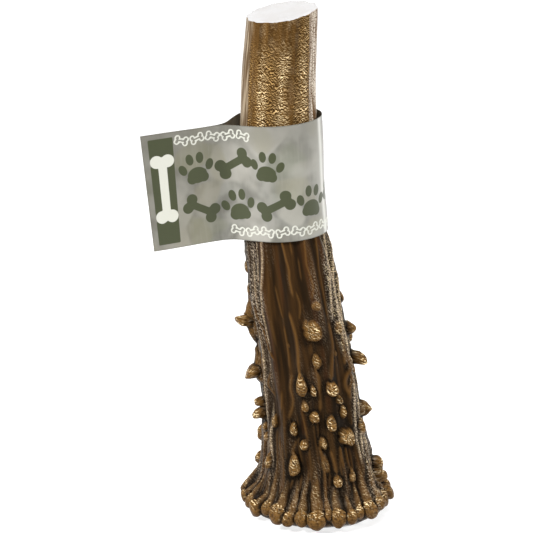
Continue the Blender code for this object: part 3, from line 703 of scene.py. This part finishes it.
class Nodes:
    """Short ways to add and join the nodes of one material."""

    def __init__(self, name):
        self.material = bpy.data.materials.new(name)
        self.material.use_nodes = True
        self.tree = self.material.node_tree
        self.shader = self.tree.nodes["Principled BSDF"]

    def add(self, kind, links=(), **settings):
        node = self.tree.nodes.new(kind)
        for name, value in settings.items():
            setattr(node, name, value)
        for socket, value in dict(links).items():
            self.put(node.inputs[socket], value)
        return node

    def put(self, socket, value):
        if isinstance(value, bpy.types.NodeSocket):
            self.tree.links.new(value, socket)
        else:
            socket.default_value = value

    def math(self, operation, first, second, third=0.0):
        node = self.add("ShaderNodeMath", {0: first, 1: second, 2: third}, operation=operation)
        return node.outputs[0]

    def times(self, first, second):
        return self.math("MULTIPLY", first, second)

    def attribute(self, name):
        return self.add("ShaderNodeAttribute", attribute_name=name).outputs["Fac"]

    def moved(self, place, shift):
        return self.add("ShaderNodeVectorMath", {0: place, 1: shift}, operation="ADD").outputs["Vector"]

    def mapped(self, place, scale, turn=(0.0, 0.0, 0.0), shift=(0.0, 0.0, 0.0)):
        links = {"Vector": place, "Scale": scale, "Rotation": turn, "Location": shift}
        return self.add("ShaderNodeMapping", links).outputs["Vector"]

    def noise(self, place, scale, detail=2.0, roughness=0.5):
        links = {"Vector": place, "Scale": scale, "Detail": detail, "Roughness": roughness}
        return self.add("ShaderNodeTexNoise", links).outputs["Fac"]

    def emboss(self, place, scale, shift):
        """How much higher a noise is here than a little way off, as if it were relief in slanting light."""
        there = self.moved(place, shift)
        return self.math("SUBTRACT", self.noise(place, scale, 1.0), self.noise(there, scale, 1.0))

    def span(self, value, low, high, new_low=0.0, new_high=1.0):
        links = {"Value": value, "From Min": low, "From Max": high, "To Min": new_low, "To Max": new_high}
        return self.add("ShaderNodeMapRange", links, interpolation_type="SMOOTHSTEP").outputs["Result"]

    def blend(self, part, under, over):
        """One colour laid over another, as far as part says."""
        return self.add("ShaderNodeMix", {0: part, 6: under, 7: over}, data_type="RGBA").outputs[2]

    def layered(self, under, *layers):
        """A colour with others laid over it in turn, each as far as its part says."""
        for part, over in layers:
            under = self.blend(part, under, over)
        return under

    def bump(self, height, distance, strength=1.0):
        links = {"Height": height, "Distance": distance, "Strength": strength}
        return self.add("ShaderNodeBump", links).outputs["Normal"]

    def finish(self, piece, surface):
        """Sets the shader's sockets by name, and gives the material to a piece."""
        for socket, value in surface.items():
            self.put(self.shader.inputs[socket], value)
        piece.data.materials.append(self.material)


def shade(red, green, blue):
    """A colour as seen, in parts of 255, as the linear colour that a shader takes."""
    parts = [c / 255.0 for c in (red, green, blue)]
    return tuple(c / 12.92 if c <= 0.04045 else ((c + 0.055) / 1.055) ** 2.4 for c in parts) + (1.0,)


# Grown surface: brown, darker in the hollows from the stain and painted shade, golden tan where crests and
# knobs are worn.
# Fine worm-like wrinkles on the upper beam and pebbles on its flanks have bumps and painted highlights and
# shade.
skin = Nodes("antler_skin")
place = skin.add("ShaderNodeAttribute", attribute_name="grown_place").outputs["Vector"]
long_place = skin.mapped(place, (1.0, 1.0, 0.07))
leaning_place = skin.mapped(
    place, (1.0, 1.0, 0.55), turn=(0.0, 0.35, 0.0), shift=(0.2 * MM, 0.2 * MM, 0.0))
rise = skin.times(skin.noise(place, 240.0, 1.0), 3.2 * MM)
rise = skin.add("ShaderNodeCombineXYZ", {"Z": rise}).outputs["Vector"]
tilted_place = skin.moved(skin.mapped(place, (0.5, 0.5, 1.0)), rise)
is_crest, is_knob, is_stain_and_shade, is_upper, is_worm, is_leather_and_glints, is_glint, is_sheen_column = (
    skin.attribute(name)
    for name in ("crest", "knob", "stain_and_shade", "upper", "worm", "leather_and_glints", "glint", "sheen_columns"))

# Its patterns: lit and shaded sides of wrinkles, for painted highlights and painted shade, streaks along the
# beam, pebbles, pits and painted glint specks.
wrinkle_highlight = skin.emboss(tilted_place, 1900.0, (0.04 * MM, 0.0, 0.24 * MM))
wrinkle_shade = skin.span(wrinkle_highlight, -0.11, 0.0, 1.0, 0.0)
broken = skin.span(skin.noise(place, 330.0, 1.0), 0.38, 0.58)
wrinkle_highlight = skin.times(skin.span(wrinkle_highlight, 0.015, 0.10), skin.math("MULTIPLY_ADD", broken, 0.4, 0.6))
fuzz = skin.span(skin.noise(place, 190.0, 1.0), 0.48, 0.60)
fuzz = skin.times(fuzz, skin.span(wrinkle_highlight, 0.0, 1.0, 0.2, 0.8))
streak = skin.noise(long_place, 420.0, 3.0)
thin_streak = skin.noise(long_place, 1100.0)
red_streak = skin.noise(long_place, 230.0, 1.0)
grain = skin.emboss(leaning_place, 2300.0, (0.16 * MM, 0.0, 0.10 * MM))
grain = skin.span(grain, -0.03, 0.15)
pebble = skin.times(grain, skin.span(thin_streak, 0.38, 0.58, 0.30, 1.0))
pebble = skin.times(pebble, skin.span(streak, 0.42, 0.52, 0.25, 1.0))
pits = skin.span(skin.noise(place, 1500.0, 2.0, 0.6), 0.30, 0.60)
glint_specks = skin.span(skin.emboss(place, 1700.0, (0.12 * MM, 0.0, 0.20 * MM)), 0.03, 0.15)
glint_specks = skin.times(glint_specks, skin.span(skin.noise(place, 700.0, 1.0), 0.40, 0.56, 0.15, 1.0))
fine = skin.noise(place, 3600.0, 1.0)

# Its colours, each laid over the last: the lower beam with its leathery flanks and their painted glints, then
# the upper beam with the painted highlights and shade of wrinkles and painted sheen strips at the sides, and
# over both the stain and painted shade in hollows, the worn gold on what stands up, painted highlights on
# beads and painted glints.
# The pebbles of the leathery flanks, with painted glints on them.
leather_and_glints = skin.blend(pebble, shade(38, 28, 20), shade(220, 201, 175))
lower_colour = skin.layered(
    shade(30, 20, 10),
    (skin.span(streak, 0.36, 0.66), shade(56, 37, 17)),
    (skin.span(red_streak, 0.56, 0.66, 0.0, 0.5), shade(60, 34, 15)),
    (skin.times(is_leather_and_glints, 0.9), leather_and_glints),
)
plain_upper = skin.blend(skin.span(streak, 0.34, 0.64), shade(60, 40, 16), shade(88, 61, 27))
worms = skin.layered(
    plain_upper,
    (0.5, shade(96, 69, 33)),
    (skin.times(is_sheen_column, 0.6), shade(132, 99, 54)),
    (skin.times(wrinkle_shade, 0.9), shade(42, 28, 12)),
    (wrinkle_highlight, skin.blend(is_sheen_column, shade(178, 142, 88), shade(250, 222, 172))),
)
# Painted sheen strips, a painted reflection, down the left and right sides.
left_sheen = skin.blend(skin.span(thin_streak, 0.38, 0.64), shade(86, 68, 48), shade(148, 133, 112))
right_sheen = skin.layered(
    shade(96, 70, 42),
    (skin.span(thin_streak, 0.40, 0.56), shade(206, 195, 179)),
    (skin.times(wrinkle_shade, 0.95), shade(76, 51, 27)),
)
upper_colour = skin.layered(
    plain_upper,
    (skin.times(fuzz, 0.6), shade(128, 110, 86)),
    (is_worm, worms),
    (skin.attribute("left_sheen_strip"), left_sheen),
    (skin.attribute("right_sheen_strip"), right_sheen),
)
# Nearly black in the hollows, painted shade over the real stain, with a little of the pebbles' painted
# glints.
stain_and_shade_colour = skin.blend(skin.times(pebble, 0.3), shade(8, 5, 3), shade(92, 76, 56))
bead_highlight = skin.times(skin.attribute("beads"), skin.span(grain, 0.0, 1.0, 0.25, 1.0))
gold = skin.blend(pits, shade(50, 33, 15), shade(108, 78, 39))
colour = skin.layered(
    lower_colour,
    (is_upper, upper_colour),
    (skin.times(is_stain_and_shade, 0.9), stain_and_shade_colour),
    (skin.times(is_crest, 0.9), shade(94, 66, 33)),
    (bead_highlight, shade(212, 192, 164)),
    (skin.times(is_knob, 0.95), gold),
    (skin.times(glint_specks, is_glint), shade(238, 214, 168)),
)

low_bump = skin.times(pebble, is_leather_and_glints)
high_bump = skin.times(wrinkle_highlight, is_worm)
bumps = skin.add("ShaderNodeMix", {0: is_upper, 2: low_bump, 3: high_bump}, data_type="FLOAT").outputs[0]
bumps = skin.math("MULTIPLY_ADD", skin.times(pits, is_knob), 0.7, bumps)
bumps = skin.math("MULTIPLY_ADD", fine, 0.10, bumps)
skin.finish(antler, {
    "Base Color": colour, "Roughness": skin.span(fine, 0.3, 0.7, 0.28, 0.46), "Specular IOR Level": 0.06,
    "Specular Tint": (1.0, 0.82, 0.60, 1.0), "Normal": skin.bump(bumps, 0.35 * MM),
})

# Bare bone of the saw cut and the seal: pale and dull, with fine pores all over.
BONE_RIM_AT_CUT, BONE_TOP_AT_SEAL = 0.12, 1.6
bone = Nodes("bare_bone")
place = bone.add("ShaderNodeTexCoord").outputs["Object"]
pores = bone.noise(place, 1400.0, 3.0, 0.6)
cloud = bone.noise(place, 160.0, 2.0)
colour = bone.layered(
    shade(160, 159, 159),
    (bone.span(cloud, 0.35, 0.65), shade(156, 154, 153)),
    (bone.span(pores, 0.60, 0.72, 0.0, 0.3), shade(148, 145, 139)),
)
pored = bone.bump(pores, 0.2 * MM, strength=0.4)
bone.finish(antler, {"Base Color": colour, "Roughness": 0.6, "Normal": pored})
above_cut = [(corner.co - cut_middle).dot(cut_normal) for corner in antler.data.vertices]
for face in antler.data.polygons:
    on_cut = min(above_cut[number] for number in face.vertices) > -BONE_RIM_AT_CUT * MM
    on_seal = face.center.z < BONE_TOP_AT_SEAL * MM
    face.material_index = 1 if on_cut or on_seal else 0
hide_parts("antler")
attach(antler, "root")

# Label: one strip of thin printed plastic film, wrapped round the upper beam as a loop and stuck to
# itself, so that its two ends stand out on the left as a flat flag. It starts as a flat strip.
LABEL_HEIGHT = 44.4
LABEL_MIDDLE_RIGHT, LABEL_MIDDLE_UP = -14.3, 136.8
LABEL_TILT_LEFT = math.radians(3.4)
LABEL_TILT_FORWARD = math.radians(2.3)
LOOP_HALF_WIDTH = 16.6
LOOP_HALF_DEPTH = 15.9
FLAG_TURN_FORWARD = math.radians(20.0)
NOSE_DISTANCE = 21.4
FLAG_END_DISTANCE = 52.6
FLAG_END_SLANT, SLANT_REACH = 0.9, 12.0
FILM_THICKNESS = 0.12
LAYERS_APART = 0.24
STRIP_CELL = 0.45
LOOP_POINTS, COURSE_POINTS, BEND_POINTS = 90, 1600, 75
flag_way = np.array((-math.cos(FLAG_TURN_FORWARD), -math.sin(FLAG_TURN_FORWARD)))
flag_back = np.array((flag_way[1], -flag_way[0]))


def steps_along(points):
    """How far along a course each of its points lies."""
    return np.concatenate(([0.0], np.cumsum(np.linalg.norm(np.diff(points, axis=0), axis=1))))


def at_steps(wanted, steps, points):
    """The places on a course at wanted distances along it."""
    return np.stack([np.interp(wanted, steps, points[:, i]) for i in (0, 1)], axis=1)


def strip_course():
    """The strip seen from above: front of the flag, round the beam, back of the flag, bent softly."""
    opening = math.acos(LOOP_HALF_WIDTH / NOSE_DISTANCE)
    nose_turn = math.pi + FLAG_TURN_FORWARD
    turns = np.linspace(nose_turn + opening, nose_turn - opening + 2 * math.pi, LOOP_POINTS)
    loop = np.stack((LOOP_HALF_WIDTH * np.cos(turns), LOOP_HALF_DEPTH * np.sin(turns)), axis=1)
    half_gap = flag_back * LAYERS_APART / 2
    rough = np.concatenate((
        [flag_way * FLAG_END_DISTANCE - half_gap, flag_way * NOSE_DISTANCE - half_gap],
        loop,
        [flag_way * NOSE_DISTANCE + half_gap, flag_way * FLAG_END_DISTANCE + half_gap],
    ))
    steps = steps_along(rough)
    course = at_steps(np.linspace(0.0, steps[-1], COURSE_POINTS), steps, rough)
    window = np.hanning(2 * BEND_POINTS + 1)
    window /= window.sum()
    longer = np.concatenate((
        2 * course[0] - course[BEND_POINTS:0:-1], course,
        2 * course[-1] - course[-2:-BEND_POINTS - 2:-1]))
    return np.stack([np.convolve(longer[:, i], window, mode="valid") for i in (0, 1)], axis=1)


course = strip_course()
steps = steps_along(course)
STRIP_LENGTH = float(steps[-1])
bpy.ops.object.select_all(action="DESELECT")
bpy.ops.mesh.primitive_grid_add(
    x_subdivisions=int(STRIP_LENGTH / STRIP_CELL), y_subdivisions=int(LABEL_HEIGHT / STRIP_CELL), size=1.0,
    location=(0.0, 0.0, 0.0))
label = bpy.context.object
label.name = "label_film_strip"
corners = corner_places(label)
along = (corners[:, 0] + 0.5) * STRIP_LENGTH
up = corners[:, 1] * LABEL_HEIGHT
from_end = np.minimum(along, STRIP_LENGTH - along)
slant = FLAG_END_SLANT * up / (LABEL_HEIGHT / 2) * np.clip(1.0 - from_end / SLANT_REACH, 0.0, 1.0)
along_cut = along - np.where(along < STRIP_LENGTH / 2, slant, -slant)
seen = at_steps(along_cut, steps, course)
beyond = np.minimum(along_cut, 0.0) + np.minimum(STRIP_LENGTH - along_cut, 0.0)
seen = seen - flag_way * beyond[:, None]

# The flag waves a little, and the loop is softly dented.
middle_of_flag = smooth_step(-from_end, -30.0, -16.0)
wave = 0.35 * np.sin(from_end / 9.0 + up / 14.0) * middle_of_flag * np.sin(from_end / 14.0)
seen = seen + flag_back * wave[:, None]
outward = seen / np.linalg.norm(seen, axis=1, keepdims=True)
soft = 0.16 * np.sin(up / 8.0 + along / 7.0) + 0.12 * np.sin(up / 5.0 - along / 11.0)
seen = seen + outward * (soft * (1.0 - smooth_step(-from_end, -34.0, -26.0)))[:, None]
label.data.vertices.foreach_set("co", (np.column_stack((seen, up)) * MM).ravel())
label.data.update()
label.rotation_euler = (LABEL_TILT_FORWARD, -LABEL_TILT_LEFT, 0.0)
label.location = Vector((LABEL_MIDDLE_RIGHT, float(axis_y(LABEL_MIDDLE_UP)), LABEL_MIDDLE_UP)) * MM
bpy.ops.object.transform_apply(location=True, rotation=True)

# Print: a dark band at each end of the strip, the front one with a pale bone, two rows of paws and
# bones, and two rows of small outlined bones. Each shape is the distance to its edge, less than 0 inside.
BAND_MIDDLE, BAND_HALF_WIDTH, BAND_HALF_HEIGHT = 6.8, 4.5, 20.2
# Paws and bones: middle, size and lean. Small bones: where a row starts, its height, and their number.
PAWS = (((19.5, 7.2), 14.0, 0.12), ((47.5, 7.0), 13.5, -0.1), ((35.0, -8.2), 14.0, 0.15),
        ((64.5, -7.6), 14.0, -0.12))
BONES = (((34.0, 7.6), 14.5, 0.5), ((20.5, -8.6), 14.0, -0.5), ((50.0, -8.2), 14.5, 0.45),
         ((78.5, -8.0), 13.5, -0.4))
SMALL_BONE_ROWS = ((14.5, 18.4, 5), (34.0, -18.4, 8))
SMALL_BONE, SMALL_BONE_SPACING, SMALL_BONE_LEAN = 5.0, 6.0, 0.3
OUTLINE_HALF_WIDTH = 0.28


def disc(middle, radius):
    return np.hypot(along - middle[0], up - middle[1]) - radius


def oval(middle, half_along, half_up, lean):
    x, y = along - middle[0], up - middle[1]
    c, s = math.cos(lean), math.sin(lean)
    reach = np.hypot((c * x + s * y) / half_along, (c * y - s * x) / half_up)
    return (reach - 1.0) * min(half_along, half_up)


def bar(start, end, radius):
    start, end = np.array(start), np.array(end)
    way = end - start
    at = np.stack((along, up), axis=1) - start
    part = np.clip(at @ way / (way @ way), 0.0, 1.0)
    return np.linalg.norm(at - part[:, None] * way, axis=1) - radius


def bone_shape(middle, length, lean, fat=1.0):
    way = np.array((math.cos(lean), math.sin(lean)))
    side = np.array((-way[1], way[0]))
    middle = np.array(middle)
    knuckle = 0.15 * length * fat
    half_shaft = way * (length / 2 - knuckle)
    shaft = bar(middle - half_shaft, middle + half_shaft, 0.10 * length * fat)
    ends = [middle + half_shaft * w + side * knuckle * 0.85 * s for w in (-1, 1) for s in (-1, 1)]
    return np.minimum.reduce([shaft] + [disc(end, knuckle) for end in ends])


def paw_shape(middle, size, lean):
    c, s = math.cos(lean), math.sin(lean)

    def at(x, y):
        return (middle[0] + (c * x - s * y) * size, middle[1] + (s * x + c * y) * size)

    pads = [oval(at(0.0, -0.20), 0.27 * size, 0.22 * size, lean), disc(at(-0.16, -0.28), 0.14 * size),
            disc(at(0.16, -0.28), 0.14 * size)]
    toes = ((-0.37, 0.02, 0.4), (-0.14, 0.26, 0.12), (0.14, 0.26, -0.12), (0.37, 0.02, -0.4))
    pads += [oval(at(x, y), 0.105 * size, 0.155 * size, lean + t) for x, y, t in toes]
    return np.minimum.reduce(pads)


def end_band(from_this_end):
    return np.maximum(np.abs(from_this_end - BAND_MIDDLE) - BAND_HALF_WIDTH, np.abs(up) - BAND_HALF_HEIGHT)


band_bone = bone_shape((BAND_MIDDLE, 1.0), 26.0, math.pi / 2, 0.62)
small = [
    bone_shape((first + SMALL_BONE_SPACING * number, row_up), SMALL_BONE,
               SMALL_BONE_LEAN if number % 2 else -SMALL_BONE_LEAN, 1.15)
    for first, row_up, count in SMALL_BONE_ROWS for number in range(count)]
olive = np.minimum.reduce(
    [np.maximum(end_band(along), -band_bone), end_band(STRIP_LENGTH - along)]
    + [paw_shape(*paw) for paw in PAWS] + [bone_shape(*bone_at) for bone_at in BONES])
pale = np.minimum(band_bone, np.abs(np.minimum.reduce(small)) - OUTLINE_HALF_WIDTH)

# The film has a painted highlight streak where it turns away on the right, painted shade beyond that, and is
# dark along its cut edges.
loop_side = np.interp(along, steps, course[:, 0])
on_right = (loop_side > 0.0) & (np.interp(along, steps, course[:, 1]) < 0.0)
highlight_streak = 0.9 * on_right * np.exp(-(((loop_side - 15.1) / 0.5) ** 2))
turned_away_shade = 0.7 * on_right * smooth_step(loop_side, 15.5, 16.3)
cut_edge = 0.6 * smooth_step(-np.minimum(LABEL_HEIGHT / 2 - np.abs(up), from_end), -0.45, -0.10)
keep_fields(label, {
    "olive": olive, "pale": pale, "strip_along": along, "strip_up": up,
    "highlight_streak": highlight_streak, "turned_away_shade": turned_away_shade, "cut_edge": cut_edge,
})
thick = label.modifiers.new("film thickness", "SOLIDIFY")
thick.thickness = FILM_THICKNESS * MM
thick.offset = 0.0
bpy.ops.object.modifier_apply(modifier=thick.name)
bpy.ops.object.shade_smooth_by_angle(angle=math.radians(40.0))

# Printed film: misty grey-green with soft cloudy facets, with painted shade towards the flag's end and along
# the top, and painted light where the loop faces the front. The print lies over all of that.
PRINT_EDGE = 0.07
film = Nodes("printed_film")
along_strip, up_strip = film.attribute("strip_along"), film.attribute("strip_up")
place = film.add("ShaderNodeCombineXYZ", {"X": along_strip, "Y": up_strip}).outputs["Vector"]
facets = film.add("ShaderNodeTexVoronoi", {"Vector": place, "Scale": 0.10, "Smoothness": 0.8},
                  feature="SMOOTH_F1")
facet = film.add("ShaderNodeSeparateColor", {"Color": facets.outputs["Color"]}).outputs
mist = film.noise(place, 0.12)
fibre = film.noise(film.mapped(place, (1.0, 0.12, 1.0)), 0.9)
colour = film.layered(
    shade(102, 101, 93),
    (film.span(mist, 0.35, 0.65), shade(136, 135, 127)),
    (film.span(facet["Red"], 0.45, 0.80, 0.0, 0.50), shade(104, 108, 88)),
    (film.span(facet["Green"], 0.46, 0.76, 0.0, 0.60), shade(160, 157, 148)),
    (film.span(facet["Blue"], 0.60, 0.90, 0.0, 0.35), shade(134, 128, 100)),
    (film.span(fibre, 0.45, 0.75, 0.0, 0.30), shade(142, 138, 129)),
    # Painted shade towards the flag's end and the top, painted light in front, then the painted highlight
    # streak and painted shade where the film turns away.
    (film.span(along_strip, 0.0, 44.0, 0.42, 0.0), shade(92, 88, 74)),
    (film.span(along_strip, 48.0, 72.0, 0.0, 0.35), shade(158, 156, 147)),
    (film.span(up_strip, 8.0, 20.0, 0.0, 0.50), shade(106, 104, 95)),
    (film.attribute("highlight_streak"), shade(196, 195, 188)),
    (film.attribute("turned_away_shade"), shade(96, 95, 88)),
    (film.attribute("cut_edge"), shade(84, 82, 70)),
    (film.span(film.attribute("olive"), -PRINT_EDGE, PRINT_EDGE, 1.0, 0.0), shade(53, 58, 29)),
    (film.span(film.attribute("pale"), -PRINT_EDGE, PRINT_EDGE, 1.0, 0.0), shade(194, 194, 183)),
)
film.finish(label, {"Base Color": colour, "Roughness": 0.34, "Coat Weight": 0.3, "Coat Roughness": 0.15})
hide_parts("label_wrap")
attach(label, "root")

# Floor: a plain pale table top. Light: a dim white room, a wide soft box overhead that reaches far
# behind the antler, and two small soft boxes in front for the gloss.
bpy.ops.mesh.primitive_plane_add(size=8.0, location=(0.0, 0.0, 0.0))
floor = bpy.context.object
floor.name = "pale_floor"
Nodes("pale_paper").finish(floor, {
    "Base Color": (0.40, 0.40, 0.40, 1.0), "Roughness": 0.9, "Specular IOR Level": 0.1,
    "Emission Color": (1.0, 1.0, 1.0, 1.0), "Emission Strength": 0.72,
})

room = bpy.data.worlds.new("white_room")
room.use_nodes = True
room.node_tree.nodes["Background"].inputs["Color"].default_value = (1.0, 1.0, 1.0, 1.0)
room.node_tree.nodes["Background"].inputs["Strength"].default_value = 0.12
bpy.context.scene.world = room


def soft_box(name, spot, aim, wide, tall, power, spread):
    """A soft box that faces a spot, its light kept within a spread in degrees."""
    spot = Vector(spot)
    facing = (Vector(aim) - spot).to_track_quat("-Z", "Y").to_euler()
    bpy.ops.object.light_add(type="AREA", location=spot, rotation=facing)
    lamp = bpy.context.object
    lamp.name = name
    lamp.data.shape = "RECTANGLE"
    lamp.data.size = wide
    lamp.data.size_y = tall
    lamp.data.energy = power
    lamp.data.spread = math.radians(spread)


soft_box("overhead_box", (0.0, 0.68, 0.42), (0.0, 0.68, 0.0), 1.3, 1.66, 8.0, 70.0)
soft_box("left_front_box", (-0.65, -0.55, 0.75), (-0.012, 0.0, 0.12), 0.25, 0.25, 0.95, 40.0)
soft_box("right_front_box", (0.80, -0.25, 0.55), (-0.012, 0.0, 0.12), 0.25, 0.25, 0.45, 40.0)
bpy.context.scene.view_settings.view_transform = "Standard"
